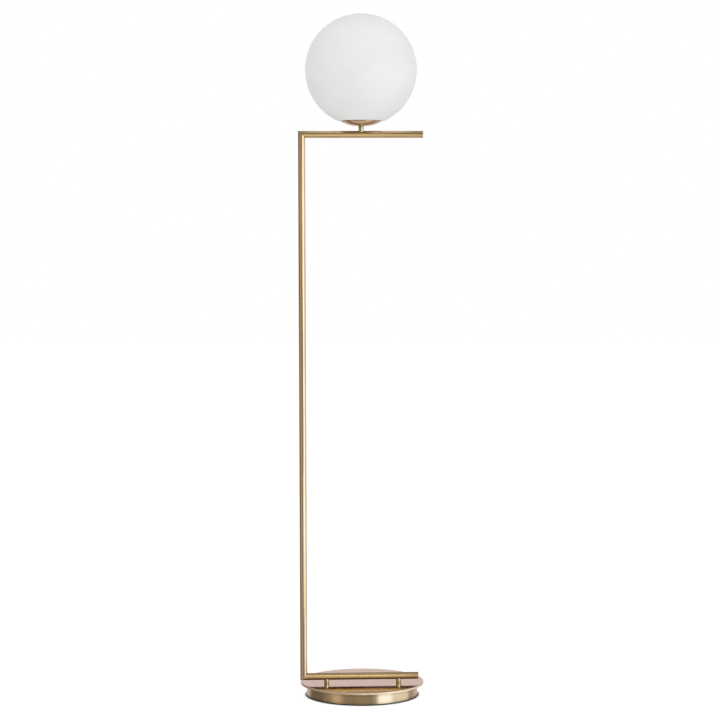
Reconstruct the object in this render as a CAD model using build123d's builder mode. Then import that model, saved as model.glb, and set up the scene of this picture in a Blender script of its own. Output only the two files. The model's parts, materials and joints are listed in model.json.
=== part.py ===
"""Globe floor lamp: an opal glass ball on a brass dish, carried by a C-shaped tube frame on a weighted base.

Millimetres. The origin is on the lamp's axis at floor level, +Z up, +X along the arms away from the post,
and the cord inlet looks to +Y, the back. The round base stands a little behind the plane of the frame.
"""

from build123d import *
from math import acos, degrees, pi, sqrt
import os

# ---------------------------------------------------------------- driving dimensions
# Tube frame
tube_diameter = 19.0
tube_wall = 1.5
post_offset = 160.5  # lamp axis to post axis
top_arm_reach = 166.5  # lamp axis to the free end of the upper arm, cap included
bottom_arm_reach = 152.0  # the same for the lower arm
top_arm_height = 1527.0  # floor to the upper arm's axis
end_cap_thickness = 3.0
end_cap_spigot_length = 9.0
end_cap_chamfer_length = 0.4
plug_clearance = 0.1  # round a spigot pushed into a tube
braze_gap = 0.05  # between a saddle and the tube that it sits on

# Hollow threaded nipples, M10 x 1, with their nuts
nipple_diameter = 10.0
nipple_bore_diameter = 8.0
nipple_clearance = 0.2  # radial, in plain holes
thread_clearance = 0.03  # radial, in nuts
nut_across_flats = 14.0
nut_thickness = 4.0
nut_chamfer_length = 0.5
washer_diameter = 18.0
washer_thickness = 1.5
saddle_nut_length = 18.0
saddle_nut_face = 2.5  # tube axis to the flat of the saddle nut

# Base
base_offset = 33.0  # from the plane of the frame back to the base's own axis
pad_inset = 1.0  # drum's side to the pad's edge
pad_thickness = 2.5
drum_diameter = 302.0
drum_height = 29.0
drum_wall = 1.5
drum_edge_radius = 2.0
drum_inner_radius = 0.5  # inside the same corner
drum_flange_width = 34.0
plate_diameter = 336.0
plate_thickness = 6.0
plate_edge_radius = 1.0
peg_offset = 98.0  # lamp axis to each peg
peg_diameter = 13.5
peg_height = 9.6  # clear height between plate and lower arm
cover_thickness = 1.5
cover_clearance = 0.5
weight_clearance = 1.0
weight_chamfer_length = 1.5
clamp_web_thickness = 9.5  # iron left above each nut recess
nut_recess_diameter = 34.0
peg_nipple_tail = 1.0  # thread standing past the nut
cover_screw_circle_radius = 125.0
cover_screw_count = 3
cover_screw_start = 40.0  # degrees
cover_screw_diameter = 4.0
cover_screw_head_diameter = 7.0
cover_screw_length = 12.0
cross_recess_width = 0.9
cross_recess_length = 3.5
cross_recess_depth = 1.2

# Cord inlet and wiring in the base
inlet_height = 11.5  # floor to the inlet's axis
inlet_bore_diameter = 7.0
grommet_neck_diameter = 10.4
grommet_flange_diameter = 14.0
grommet_lip_thickness = 2.0
grommet_edge_radius = 0.7
inlet_channel_width = 16.0
pocket_length = 68.0
pocket_width = 28.0
pocket_depth = 15.0
pocket_corner_radius = 5.0
pocket_y = 64.0  # base axis to the middle of the pocket
block_length = 30.0
block_width = 18.0
block_height = 14.0
block_corner_radius = 1.5
block_x = -14.0
pole_count = 3
pole_pitch = 9.0
terminal_row_spacing = 10.0
terminal_screw_diameter = 4.0
terminal_screw_length = 5.0
screw_slot_width = 0.8
screw_slot_depth = 0.8
block_screw_diameter = 3.0
block_screw_head_diameter = 5.5
block_screw_head_height = 3.0
block_screw_grip_length = 5.0

# Inner lead
lead_diameter = 5.0
lead_height = 8.0  # floor to the lead's axis in the base
lead_channel_width = 12.0
lead_channel_depth = 11.0
lead_offset = 4.7  # tube axis to the lead, where it turns through a nipple
channel_bend_radius = 25.0
base_bend_radius = 8.0
nipple_bend_radius = 7.0
mitre_bend_radius = 15.0

# Stem, dish and globe
stem_diameter = 14.0
stem_height = 13.0  # clear height between upper arm and dish
dish_diameter = 107.0
dish_height = 13.5
dish_wall = 1.2
dish_flat_diameter = 22.0  # diameter of the flat that stands on the stem
dish_lip_height = 1.5
dish_seat_width = 5.0
gasket_thickness = 0.8
gasket_inset = 0.5
globe_diameter = 300.0
globe_wall = 3.0
globe_seat_diameter = 126.6  # where the ball would meet its flat underside
globe_mouth_diameter = 92.0
globe_seat_radius = 5.0  # corner between the ball and that underside
globe_inner_seat_radius = 3.5  # the same corner inside
globe_mouth_edge_radius = 0.75

# Spring spider that centres the globe's mouth
spring_arm_count = 3
spring_start = 60.0  # degrees
spring_thickness = 1.0
spring_width = 10.0
spring_leaf_thickness = 0.8
spring_gap = 0.3
spring_knee_height = 10.0  # dish underside to the knee of each arm
spring_rise_height = 5.0  # leaf standing past the glass
spring_lead_in_length = 2.5

# Lamp holder, for a 27 mm round thread
holder_diameter = 39.0
holder_wall = 2.0
holder_neck_diameter = 22.0
holder_cap_height = 20.0
holder_thread_height = 10.0  # tapped length at the foot of the cap
holder_collar_height = 4.25  # straight collar below the cap's flare
holder_flare_height = 8.5
holder_shoulder_radius = 4.25
holder_spigot_height = 6.0
holder_spigot_clearance = 0.2
skirt_height_above_insert = 24.0
skirt_mouth_diameter = 29.4
skirt_groove_count = 3
skirt_groove_pitch = 5.0
skirt_groove_depth = 0.6
insert_height = 10.0
insert_well_diameter = 12.0
insert_well_depth = 3.0
shell_wall = 0.5
shell_height = 20.0
thread_pitch = 3.63
thread_diameter = 26.2
thread_depth = 1.0
thread_turns = 4
thread_gap = 0.3  # radial, between bulb and shell
contact_height = 3.0
contact_width = 6.0
contact_length = 10.0
contact_thickness = 0.6
contact_gap = 0.3
holder_screw_offset = 14.6
holder_screw_diameter = 3.0
holder_screw_length = 8.0

# Bulb
button_diameter = 8.0
button_height = 1.5
insulator_diameter = 22.0
insulator_height = 3.0
bulb_cap_length = 17.0
bulb_cap_wall = 0.6
bulb_neck_diameter = 27.6
bulb_body_diameter = 54.0
bulb_body_height = 38.0
bulb_diameter = 60.0
bulb_glass_wall = 1.5
led_board_diameter = 40.0
led_board_thickness = 1.6
led_count = 8
led_circle_diameter = 30.0
led_size = 2.8
led_thickness = 0.7

# ---------------------------------------------------------------- worked out from them
tube_radius = tube_diameter / 2
tube_bore_radius = tube_radius - tube_wall
nipple_radius = nipple_diameter / 2
nipple_hole_radius = nipple_radius + nipple_clearance
tapped_radius = nipple_radius + thread_clearance

drum_radius = drum_diameter / 2
pad_radius = drum_radius - pad_inset
cover_radius = drum_radius - drum_wall - cover_clearance
cover_top = pad_thickness + cover_thickness
drum_top = pad_thickness + drum_height
flange_underside = drum_top - drum_wall
plate_top = drum_top + plate_thickness
bottom_arm_height = plate_top + peg_height + tube_radius
recess_top = drum_top - clamp_web_thickness
nut_base_top = recess_top - washer_thickness
nut_base_bottom = nut_base_top - nut_thickness
weight_radius = drum_radius - drum_wall - weight_clearance
weight_spigot_radius = drum_radius - drum_flange_width - weight_clearance
pocket_top = cover_top + pocket_depth
peg_places = [(-peg_offset, 0), (peg_offset, 0)]
base_axis = Axis((0, base_offset, 0), (0, 0, 1))
pegs_on_base = [(-peg_offset, -base_offset), (peg_offset, -base_offset)]

dish_bottom = top_arm_height + tube_radius + stem_height
dish_floor = dish_bottom + dish_wall
dish_rim = dish_bottom + dish_height
spring_top = dish_floor + spring_thickness
nut_stem_bottom = spring_top + washer_thickness
holder_bottom = nut_stem_bottom + nut_thickness
globe_seat = dish_rim + gasket_thickness
outer_radius = globe_diameter / 2
outer_seat_radius = globe_seat_diameter / 2
globe_seat_depth = sqrt(outer_radius**2 - outer_seat_radius**2)
globe_centre = globe_seat + globe_seat_depth

holder_shoulder = holder_bottom + holder_cap_height
insert_bottom = holder_shoulder + holder_spigot_height
insert_top = insert_bottom + insert_height
skirt_top = insert_top + skirt_height_above_insert
skirt_bore_radius = holder_diameter / 2 - holder_wall
insert_radius = skirt_bore_radius - holder_spigot_clearance
bulb_tip = insert_top + contact_height + contact_gap
bulb_cap_bottom = bulb_tip + button_height + insulator_height
bulb_cap_top = bulb_cap_bottom + bulb_cap_length
bulb_body_top = bulb_cap_top + bulb_body_height

os.makedirs("parts", exist_ok=True)


def write(piece, name):
    """Label a finished piece and write it as its own file."""
    piece.part.label = name
    export_step(piece.part, f"parts/{name}.step")


def base_level(height):
    """A level plane whose origin is on the base's own axis."""
    return Plane(origin=(0, base_offset, height))


# ---------------------------------------------------------------- tube frame
arm_mitre = Plane(origin=(-post_offset, 0, top_arm_height), z_dir=(1, 0, 1))
foot_mitre = Plane(origin=(-post_offset, 0, bottom_arm_height), z_dir=(1, 0, -1))
arm_start = post_offset + tube_radius

# Upper arm: mitred to the post, drilled from above for the stem's nipple.
with BuildPart() as top_arm:
    with BuildSketch(Plane.YZ.offset(-arm_start)):
        with Locations((0, top_arm_height)):
            Circle(tube_radius)
            Circle(tube_bore_radius, mode=Mode.SUBTRACT)
    extrude(amount=arm_start + top_arm_reach - end_cap_thickness)
    split(bisect_by=arm_mitre, keep=Keep.TOP)
    with BuildSketch(Plane.XY.offset(top_arm_height)):
        Circle(nipple_hole_radius)
    extrude(amount=tube_diameter, mode=Mode.SUBTRACT)
write(top_arm, "top_arm")

# Post: one straight tube with a mitre at each end.
with BuildPart() as post:
    with BuildSketch(Plane.XY.offset(bottom_arm_height - tube_radius)):
        with Locations((-post_offset, 0)):
            Circle(tube_radius)
            Circle(tube_bore_radius, mode=Mode.SUBTRACT)
    extrude(amount=top_arm_height - bottom_arm_height + tube_diameter)
    split(bisect_by=arm_mitre, keep=Keep.BOTTOM)
    split(bisect_by=foot_mitre, keep=Keep.BOTTOM)
write(post, "post")

# Lower arm: mitred to the post, drilled from below over each peg.
with BuildPart() as bottom_arm:
    with BuildSketch(Plane.YZ.offset(-arm_start)):
        with Locations((0, bottom_arm_height)):
            Circle(tube_radius)
            Circle(tube_bore_radius, mode=Mode.SUBTRACT)
    extrude(amount=arm_start + bottom_arm_reach - end_cap_thickness)
    split(bisect_by=foot_mitre, keep=Keep.TOP)
    with BuildSketch(Plane.XY.offset(bottom_arm_height)):
        with Locations(*peg_places):
            Circle(nipple_hole_radius)
    extrude(amount=-tube_diameter, mode=Mode.SUBTRACT)
write(bottom_arm, "bottom_arm")

# End caps: a turned disc with a spigot that is pushed into the open end of each arm.
with BuildPart() as end_caps:
    for reach, height in ((top_arm_reach, top_arm_height), (bottom_arm_reach, bottom_arm_height)):
        with BuildSketch(Plane.YZ.offset(reach - end_cap_thickness)):
            with Locations((0, height)):
                Circle(tube_radius)
        extrude(amount=end_cap_thickness)
        with BuildSketch(Plane.YZ.offset(reach - end_cap_thickness)):
            with Locations((0, height)):
                Circle(tube_bore_radius - plug_clearance)
        extrude(amount=-end_cap_spigot_length)
        outer_face = end_caps.faces().filter_by(Plane.YZ).filter_by_position(Axis.X, reach, reach)
        chamfer(outer_face.edges(), end_cap_chamfer_length)
write(end_caps, "end_caps")

# Pegs: short tubes, flat on the plate, with their upper ends coped to the lower arm.
with BuildPart() as pegs:
    with BuildSketch(Plane.XY.offset(plate_top)):
        with Locations(*peg_places):
            Circle(peg_diameter / 2)
            Circle(nipple_hole_radius, mode=Mode.SUBTRACT)
    extrude(amount=bottom_arm_height - plate_top)
    with BuildSketch(Plane.YZ.offset(-arm_start)):
        with Locations((0, bottom_arm_height)):
            Circle(tube_radius + braze_gap)
    extrude(amount=arm_start + bottom_arm_reach, mode=Mode.SUBTRACT)
write(pegs, "pegs")

# Stem: a sleeve coped over the upper arm, which carries the dish.
with BuildPart() as stem:
    with BuildSketch(Plane.XY.offset(top_arm_height)):
        Circle(stem_diameter / 2)
        Circle(nipple_hole_radius, mode=Mode.SUBTRACT)
    extrude(amount=dish_bottom - top_arm_height)
    with BuildSketch(Plane.YZ.offset(-stem_diameter)):
        with Locations((0, top_arm_height)):
            Circle(tube_radius + braze_gap)
    extrude(amount=2 * stem_diameter, mode=Mode.SUBTRACT)
write(stem, "stem")


# ---------------------------------------------------------------- nipples and nuts
def hollow_rod(places, bottom, top, outer, inner):
    """Tubes standing on one plane at several places."""
    with BuildPart() as rod:
        with BuildSketch(Plane.XY.offset(bottom)):
            with Locations(*places):
                Circle(outer)
                Circle(inner, mode=Mode.SUBTRACT)
        extrude(amount=top - bottom)
    return rod


peg_nipples = hollow_rod(
    peg_places,
    nut_base_bottom - peg_nipple_tail,
    bottom_arm_height - saddle_nut_face,
    nipple_radius,
    nipple_bore_diameter / 2,
)
write(peg_nipples, "peg_nipples")

stem_nipple = hollow_rod(
    [(0, 0)],
    top_arm_height + saddle_nut_face,
    holder_bottom + holder_thread_height,
    nipple_radius,
    nipple_bore_diameter / 2,
)
write(stem_nipple, "stem_nipple")

# Saddle nuts: bars inside the arms, rounded to the bore and tapped for the nipples.
with BuildPart() as saddle_nuts:
    for x, height, side in (
        (-peg_offset, bottom_arm_height, -1),
        (peg_offset, bottom_arm_height, -1),
        (0, top_arm_height, 1),
    ):
        with BuildSketch(Plane.YZ.offset(x - saddle_nut_length / 2)):
            with Locations((0, height)):
                Circle(tube_bore_radius - braze_gap)
            with Locations((0, height + side * (saddle_nut_face + tube_bore_radius / 2))):
                Rectangle(tube_diameter, tube_bore_radius, mode=Mode.INTERSECT)
        extrude(amount=saddle_nut_length)
    with BuildSketch(Plane.XY):
        with Locations(*peg_places, (0, 0)):
            Circle(tapped_radius)
    extrude(amount=top_arm_height + tube_diameter, mode=Mode.SUBTRACT)
write(saddle_nuts, "saddle_nuts")

# Hexagon nuts: two under the base weight, one in the dish.
with BuildPart() as nipple_nuts:
    for places, bottom in ((peg_places, nut_base_bottom), ([(0, 0)], nut_stem_bottom)):
        with BuildSketch(Plane.XY.offset(bottom)):
            with Locations(*places):
                RegularPolygon(nut_across_flats / 2, 6, major_radius=False)
        extrude(amount=nut_thickness)
    chamfer(nipple_nuts.edges().filter_by(Axis.Z), nut_chamfer_length)
    with BuildSketch(Plane.XY):
        with Locations(*peg_places, (0, 0)):
            Circle(tapped_radius)
    extrude(amount=holder_bottom, mode=Mode.SUBTRACT)
write(nipple_nuts, "nipple_nuts")

with BuildPart() as nipple_washers:
    for places, bottom in ((peg_places, nut_base_top), ([(0, 0)], spring_top)):
        with BuildSketch(Plane.XY.offset(bottom)):
            with Locations(*places):
                Circle(washer_diameter / 2)
                Circle(nipple_hole_radius, mode=Mode.SUBTRACT)
        extrude(amount=washer_thickness)
write(nipple_washers, "nipple_washers")

# ---------------------------------------------------------------- base
with BuildPart() as base_pad:
    with BuildSketch(base_level(0)):
        Circle(pad_radius)
    extrude(amount=pad_thickness)
write(base_pad, "base_pad")

with BuildPart() as bottom_cover:
    with BuildSketch(base_level(pad_thickness)):
        Circle(cover_radius)
    extrude(amount=cover_thickness)
    with Locations(base_level(pad_thickness)):
        with PolarLocations(cover_screw_circle_radius, cover_screw_count, cover_screw_start):
            Cone(
                cover_screw_head_diameter / 2,
                cover_screw_diameter / 2,
                cover_thickness,
                align=(Align.CENTER, Align.CENTER, Align.MIN),
                mode=Mode.SUBTRACT,
            )
write(bottom_cover, "bottom_cover")

# Countersunk screws from the cover up into the weight, each with a cross recess.
with BuildPart() as cover_screws:
    with Locations(base_level(pad_thickness)):
        with PolarLocations(cover_screw_circle_radius, cover_screw_count, cover_screw_start):
            Cone(
                cover_screw_head_diameter / 2,
                cover_screw_diameter / 2,
                cover_thickness,
                align=(Align.CENTER, Align.CENTER, Align.MIN),
            )
            Cylinder(
                cover_screw_diameter / 2,
                cover_screw_length,
                align=(Align.CENTER, Align.CENTER, Align.MIN),
            )
            for turn in (0, 90):
                Box(
                    cross_recess_length,
                    cross_recess_width,
                    cross_recess_depth,
                    rotation=(0, 0, turn),
                    align=(Align.CENTER, Align.CENTER, Align.MIN),
                    mode=Mode.SUBTRACT,
                )
write(cover_screws, "cover_screws")

# Drum: a spun skirt with a flange under the plate and a hole for the inlet at the back.
with BuildPart() as base_drum:
    with BuildSketch(Plane.XZ.offset(-base_offset)) as drum_profile:
        with BuildLine():
            Polyline(
                (drum_radius, pad_thickness),
                (drum_radius, drum_top),
                (drum_radius - drum_flange_width, drum_top),
                (drum_radius - drum_flange_width, flange_underside),
                (drum_radius - drum_wall, flange_underside),
                (drum_radius - drum_wall, pad_thickness),
                close=True,
            )
        make_face()
        outer_corner = drum_profile.vertices().sort_by_distance((drum_radius, drum_top))[0]
        fillet(outer_corner, drum_edge_radius)
        inner_corner = drum_profile.vertices().sort_by_distance(
            (drum_radius - drum_wall, flange_underside)
        )[0]
        fillet(inner_corner, drum_inner_radius)
    revolve(axis=base_axis)
    with BuildSketch(Plane(origin=(0, base_offset, inlet_height), z_dir=(0, 1, 0))):
        Circle(grommet_neck_diameter / 2)
    extrude(amount=drum_diameter, mode=Mode.SUBTRACT)
write(base_drum, "base_drum")

# Plate: the polished disc that overhangs the drum.
with BuildPart() as base_plate:
    with BuildSketch(base_level(drum_top)):
        Circle(plate_diameter / 2)
        with Locations(*pegs_on_base):
            Circle(nipple_hole_radius, mode=Mode.SUBTRACT)
    extrude(amount=plate_thickness)
    fillet(base_plate.edges().filter_by(GeomType.CIRCLE).sort_by(SortBy.RADIUS)[-2:], plate_edge_radius)
write(base_plate, "base_plate")

# Weight: a cast disc that fills the drum, cored for the nuts, the inlet, the terminals and the lead.
with BuildPart() as base_weight:
    with BuildSketch(base_level(cover_top)):
        Circle(weight_radius)
    extrude(amount=flange_underside - cover_top)
    chamfer(base_weight.edges().filter_by(GeomType.CIRCLE), weight_chamfer_length)
    with BuildSketch(base_level(flange_underside)):
        Circle(weight_spigot_radius)
    extrude(amount=drum_wall)
    with BuildSketch(base_level(cover_top)):
        with Locations(*pegs_on_base):
            Circle(nut_recess_diameter / 2)
    extrude(amount=recess_top - cover_top, mode=Mode.SUBTRACT)
    with BuildSketch(base_level(cover_top)):
        with Locations(*pegs_on_base):
            Circle(nipple_hole_radius)
    extrude(amount=drum_top - cover_top, mode=Mode.SUBTRACT)
    with BuildSketch(base_level(cover_top)) as pocket_outline:
        with Locations((0, pocket_y)):
            Rectangle(pocket_length, pocket_width)
        with Locations((0, (pocket_y + drum_radius) / 2)):
            Rectangle(inlet_channel_width, drum_radius - pocket_y)
        fillet(pocket_outline.vertices().group_by(Axis.Y)[0], pocket_corner_radius)
    extrude(amount=pocket_depth, mode=Mode.SUBTRACT)
    with BuildSketch(base_level(cover_top)):
        with BuildLine():
            FilletPolyline(
                (0, pocket_y), (-peg_offset, pocket_y), pegs_on_base[0], radius=channel_bend_radius
            )
        trace(line_width=lead_channel_width)
    extrude(amount=lead_channel_depth, mode=Mode.SUBTRACT)
    with BuildSketch(base_level(cover_top)):
        with PolarLocations(cover_screw_circle_radius, cover_screw_count, cover_screw_start):
            Circle(cover_screw_diameter / 2 + thread_clearance)
    extrude(amount=cover_screw_length, mode=Mode.SUBTRACT)
    with BuildSketch(base_level(pocket_top)):
        with Locations((block_x, pocket_y)):
            Circle(block_screw_diameter / 2 + thread_clearance)
    extrude(amount=block_screw_grip_length, mode=Mode.SUBTRACT)
write(base_weight, "base_weight")

# Grommet: a rubber ring that lines the inlet, with a lip on each side of the drum's wall.
with BuildPart() as inlet_grommet:
    grommet_start = drum_radius - drum_wall - grommet_lip_thickness
    grommet_face = Plane(origin=(0, base_offset + grommet_start, inlet_height), z_dir=(0, 1, 0))
    grommet_length = drum_wall + 2 * grommet_lip_thickness
    with BuildSketch(grommet_face):
        Circle(grommet_flange_diameter / 2)
    extrude(amount=grommet_length)
    fillet(inlet_grommet.edges().filter_by(GeomType.CIRCLE), grommet_edge_radius)
    with BuildSketch(grommet_face):
        Circle(inlet_bore_diameter / 2)
    extrude(amount=grommet_length, mode=Mode.SUBTRACT)
    with BuildSketch(base_level(pad_thickness)):
        Circle(drum_radius + plug_clearance)
        Circle(drum_radius - drum_wall - plug_clearance, mode=Mode.SUBTRACT)
    wall_space = extrude(amount=drum_height, mode=Mode.PRIVATE)
    with BuildSketch(grommet_face):
        Circle(grommet_flange_diameter)
        Circle(grommet_neck_diameter / 2 - plug_clearance, mode=Mode.SUBTRACT)
    outside_neck = extrude(amount=grommet_length, mode=Mode.PRIVATE)
    add(wall_space & outside_neck, mode=Mode.SUBTRACT)
write(inlet_grommet, "inlet_grommet")

# Terminal block: hangs from the pocket's roof, its screws reached from below.
block_bottom = pocket_top - block_height
with BuildPart() as terminal_block:
    with BuildSketch(base_level(block_bottom)) as block_outline:
        with Locations((block_x, pocket_y)):
            Rectangle(block_length, block_width)
        fillet(block_outline.vertices(), block_corner_radius)
    extrude(amount=block_height)
    with BuildSketch(base_level(block_bottom)):
        with Locations((block_x, pocket_y)):
            with GridLocations(pole_pitch, terminal_row_spacing, pole_count, 2):
                Circle(terminal_screw_diameter / 2 + thread_clearance)
    extrude(amount=terminal_screw_length, mode=Mode.SUBTRACT)
    with BuildSketch(base_level(block_bottom)):
        with Locations((block_x, pocket_y)):
            Circle(block_screw_diameter / 2 + thread_clearance)
    extrude(amount=block_height, mode=Mode.SUBTRACT)
    with BuildSketch(base_level(block_bottom)):
        with Locations((block_x, pocket_y)):
            Circle(block_screw_head_diameter / 2 + plug_clearance)
    extrude(amount=block_screw_head_height, mode=Mode.SUBTRACT)
write(terminal_block, "terminal_block")

with BuildPart() as terminal_screws:
    with BuildSketch(base_level(block_bottom)):
        with Locations((block_x, pocket_y)):
            with GridLocations(pole_pitch, terminal_row_spacing, pole_count, 2):
                Circle(terminal_screw_diameter / 2)
    extrude(amount=terminal_screw_length)
    with BuildSketch(base_level(block_bottom)):
        with Locations((block_x, pocket_y)):
            with GridLocations(pole_pitch, terminal_row_spacing, pole_count, 2):
                Rectangle(terminal_screw_diameter, screw_slot_width)
    extrude(amount=screw_slot_depth, mode=Mode.SUBTRACT)
write(terminal_screws, "terminal_screws")

with BuildPart() as block_screw:
    with BuildSketch(base_level(block_bottom)):
        with Locations((block_x, pocket_y)):
            Circle(block_screw_head_diameter / 2)
    extrude(amount=block_screw_head_height)
    with BuildSketch(base_level(block_bottom)):
        with Locations((block_x, pocket_y)):
            Circle(block_screw_diameter / 2)
    extrude(amount=block_height + block_screw_grip_length)
    with BuildSketch(base_level(block_bottom)):
        with Locations((block_x, pocket_y)):
            Rectangle(block_screw_head_diameter, screw_slot_width)
    extrude(amount=screw_slot_depth, mode=Mode.SUBTRACT)
write(block_screw, "block_screw")

# Inner lead: from the terminals through a peg, the lower arm, the post, the upper arm and the stem.
lead_bends = [
    channel_bend_radius,
    base_bend_radius,
    nipple_bend_radius,
    mitre_bend_radius,
    mitre_bend_radius,
    nipple_bend_radius,
]
with BuildPart() as inner_lead:
    with BuildLine() as lead_route:
        FilletPolyline(
            (block_x - block_length / 2, base_offset + pocket_y, lead_height),
            (-peg_offset, base_offset + pocket_y, lead_height),
            (-peg_offset, 0, lead_height),
            (-peg_offset, 0, bottom_arm_height + lead_offset),
            (-post_offset, 0, bottom_arm_height),
            (-post_offset, 0, top_arm_height),
            (0, 0, top_arm_height - lead_offset),
            (0, 0, insert_bottom),
            radius=lead_bends,
        )
    with BuildSketch(Plane(origin=lead_route.line @ 0, z_dir=lead_route.line % 0)):
        Circle(lead_diameter / 2)
    sweep()
lead_length = lead_route.wire().length
lead_fill = inner_lead.part.volume / (lead_length * pi * (lead_diameter / 2) ** 2)
print("inner lead: length", round(lead_length, 1), "bends", lead_bends)
print("inner lead: volume over section times length", round(lead_fill, 5))
write(inner_lead, "inner_lead")

# ---------------------------------------------------------------- dish and globe
# Dish: a spun bowl, flat on the stem, rising in one arc to a short lip with an inward seat.
dish_radius = dish_diameter / 2
flat_radius = dish_flat_diameter / 2
bowl_depth = dish_height - dish_lip_height
bowl_run = dish_radius - flat_radius
bowl_radius = (bowl_run**2 + bowl_depth**2) / (2 * bowl_depth)
seat_underside = dish_rim - dish_wall
well_height = seat_underside - dish_floor
well_middle = (seat_underside + dish_floor) / 2
with BuildPart() as globe_dish:
    with BuildSketch(Plane.XZ):
        with BuildLine():
            Line((0, dish_bottom), (flat_radius, dish_bottom))
            RadiusArc((flat_radius, dish_bottom), (dish_radius, dish_bottom + bowl_depth), -bowl_radius)
            Polyline(
                (dish_radius, dish_bottom + bowl_depth),
                (dish_radius, dish_rim),
                (0, dish_rim),
                (0, dish_bottom),
            )
        make_face()
    revolve(axis=Axis.Z)
    with BuildSketch(Plane.XZ):
        with Locations((flat_radius, dish_bottom + bowl_radius)):
            Circle(bowl_radius - dish_wall)
        with Locations((flat_radius + (bowl_run - dish_wall) / 2, well_middle)):
            Rectangle(bowl_run - dish_wall, well_height, mode=Mode.INTERSECT)
        with Locations((flat_radius / 2, well_middle)):
            Rectangle(flat_radius, well_height)
    revolve(axis=Axis.Z, mode=Mode.SUBTRACT)
    with BuildSketch(Plane.XY.offset(seat_underside)):
        Circle(dish_radius - dish_seat_width)
    extrude(amount=dish_wall, mode=Mode.SUBTRACT)
    with BuildSketch(Plane.XY.offset(dish_bottom)):
        Circle(nipple_hole_radius)
    extrude(amount=dish_height, mode=Mode.SUBTRACT)
write(globe_dish, "globe_dish")

with BuildPart() as globe_gasket:
    with BuildSketch(Plane.XY.offset(dish_rim)):
        Circle(dish_radius - gasket_inset)
        Circle(dish_radius - dish_seat_width + gasket_inset, mode=Mode.SUBTRACT)
    extrude(amount=gasket_thickness)
write(globe_gasket, "globe_gasket")

# Spring spider: a hub under the stem nut with bent leaves that stand inside the globe's mouth.
leaf_outside = sqrt((globe_mouth_diameter / 2 - spring_gap) ** 2 - (spring_width / 2) ** 2)
leaf_radius = leaf_outside - spring_leaf_thickness / 2
leaf_top = globe_seat + globe_wall + spring_rise_height
strip_middle = dish_floor + spring_leaf_thickness / 2
with BuildPart() as spring_arm:
    with BuildLine() as arm_route:
        FilletPolyline(
            (nipple_radius + spring_leaf_thickness, 0, strip_middle),
            (washer_diameter / 2 + spring_leaf_thickness, 0, strip_middle),
            (leaf_radius, 0, dish_bottom + spring_knee_height),
            (leaf_radius, 0, leaf_top),
            (leaf_radius - spring_lead_in_length, 0, leaf_top + spring_lead_in_length),
            radius=[spring_leaf_thickness * 3, spring_leaf_thickness * 3, spring_leaf_thickness * 2],
        )
    with BuildSketch(Plane(origin=arm_route.line @ 0, x_dir=(0, 1, 0), z_dir=(1, 0, 0))):
        Rectangle(spring_width, spring_leaf_thickness)
    sweep()
with BuildPart() as globe_spring:
    with BuildSketch(Plane.XY.offset(dish_floor)):
        Circle(flat_radius)
    extrude(amount=spring_thickness)
    with PolarLocations(0, spring_arm_count, spring_start):
        add(spring_arm.part)
    with BuildSketch(Plane.XY.offset(dish_floor)):
        Circle(nipple_hole_radius)
    extrude(amount=spring_thickness, mode=Mode.SUBTRACT)
write(globe_spring, "globe_spring")

# Globe: a blown ball with a flat ground seat round its mouth.
inner_radius = outer_radius - globe_wall
mouth_radius = globe_mouth_diameter / 2
lip_depth = globe_seat_depth - globe_wall
inner_seat_radius = sqrt(inner_radius**2 - lip_depth**2)
outer_angle = degrees(acos(outer_seat_radius / outer_radius))
inner_angle = degrees(acos(inner_seat_radius / inner_radius))
with BuildPart() as glass_globe:
    with BuildSketch(Plane.XZ) as globe_profile:
        with BuildLine():
            CenterArc((0, globe_centre), outer_radius, 90, -90 - outer_angle)
            Polyline(
                (outer_seat_radius, globe_seat),
                (mouth_radius, globe_seat),
                (mouth_radius, globe_seat + globe_wall),
                (inner_seat_radius, globe_seat + globe_wall),
            )
            CenterArc((0, globe_centre), inner_radius, -inner_angle, 90 + inner_angle)
            Line((0, globe_centre + inner_radius), (0, globe_centre + outer_radius))
        make_face()
        for corner, radius in (
            ((outer_seat_radius, globe_seat), globe_seat_radius),
            ((inner_seat_radius, globe_seat + globe_wall), globe_inner_seat_radius),
            ((mouth_radius, globe_seat), globe_mouth_edge_radius),
            ((mouth_radius, globe_seat + globe_wall), globe_mouth_edge_radius),
        ):
            fillet(globe_profile.vertices().sort_by_distance(corner)[0], radius)
    revolve(axis=Axis.Z)
write(glass_globe, "glass_globe")


# ---------------------------------------------------------------- lamp holder
def thread_wave(middle, bottom):
    """Round thread drawn as rings: one arc through each crest and one through each root."""
    quarter = thread_pitch / 4
    for step in range(2 * thread_turns):
        start = bottom + step * thread_pitch / 2
        swing = thread_depth / 2 if step % 2 == 0 else -thread_depth / 2
        ThreePointArc((middle, start), (middle + swing, start + quarter), (middle, start + 2 * quarter))


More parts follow.
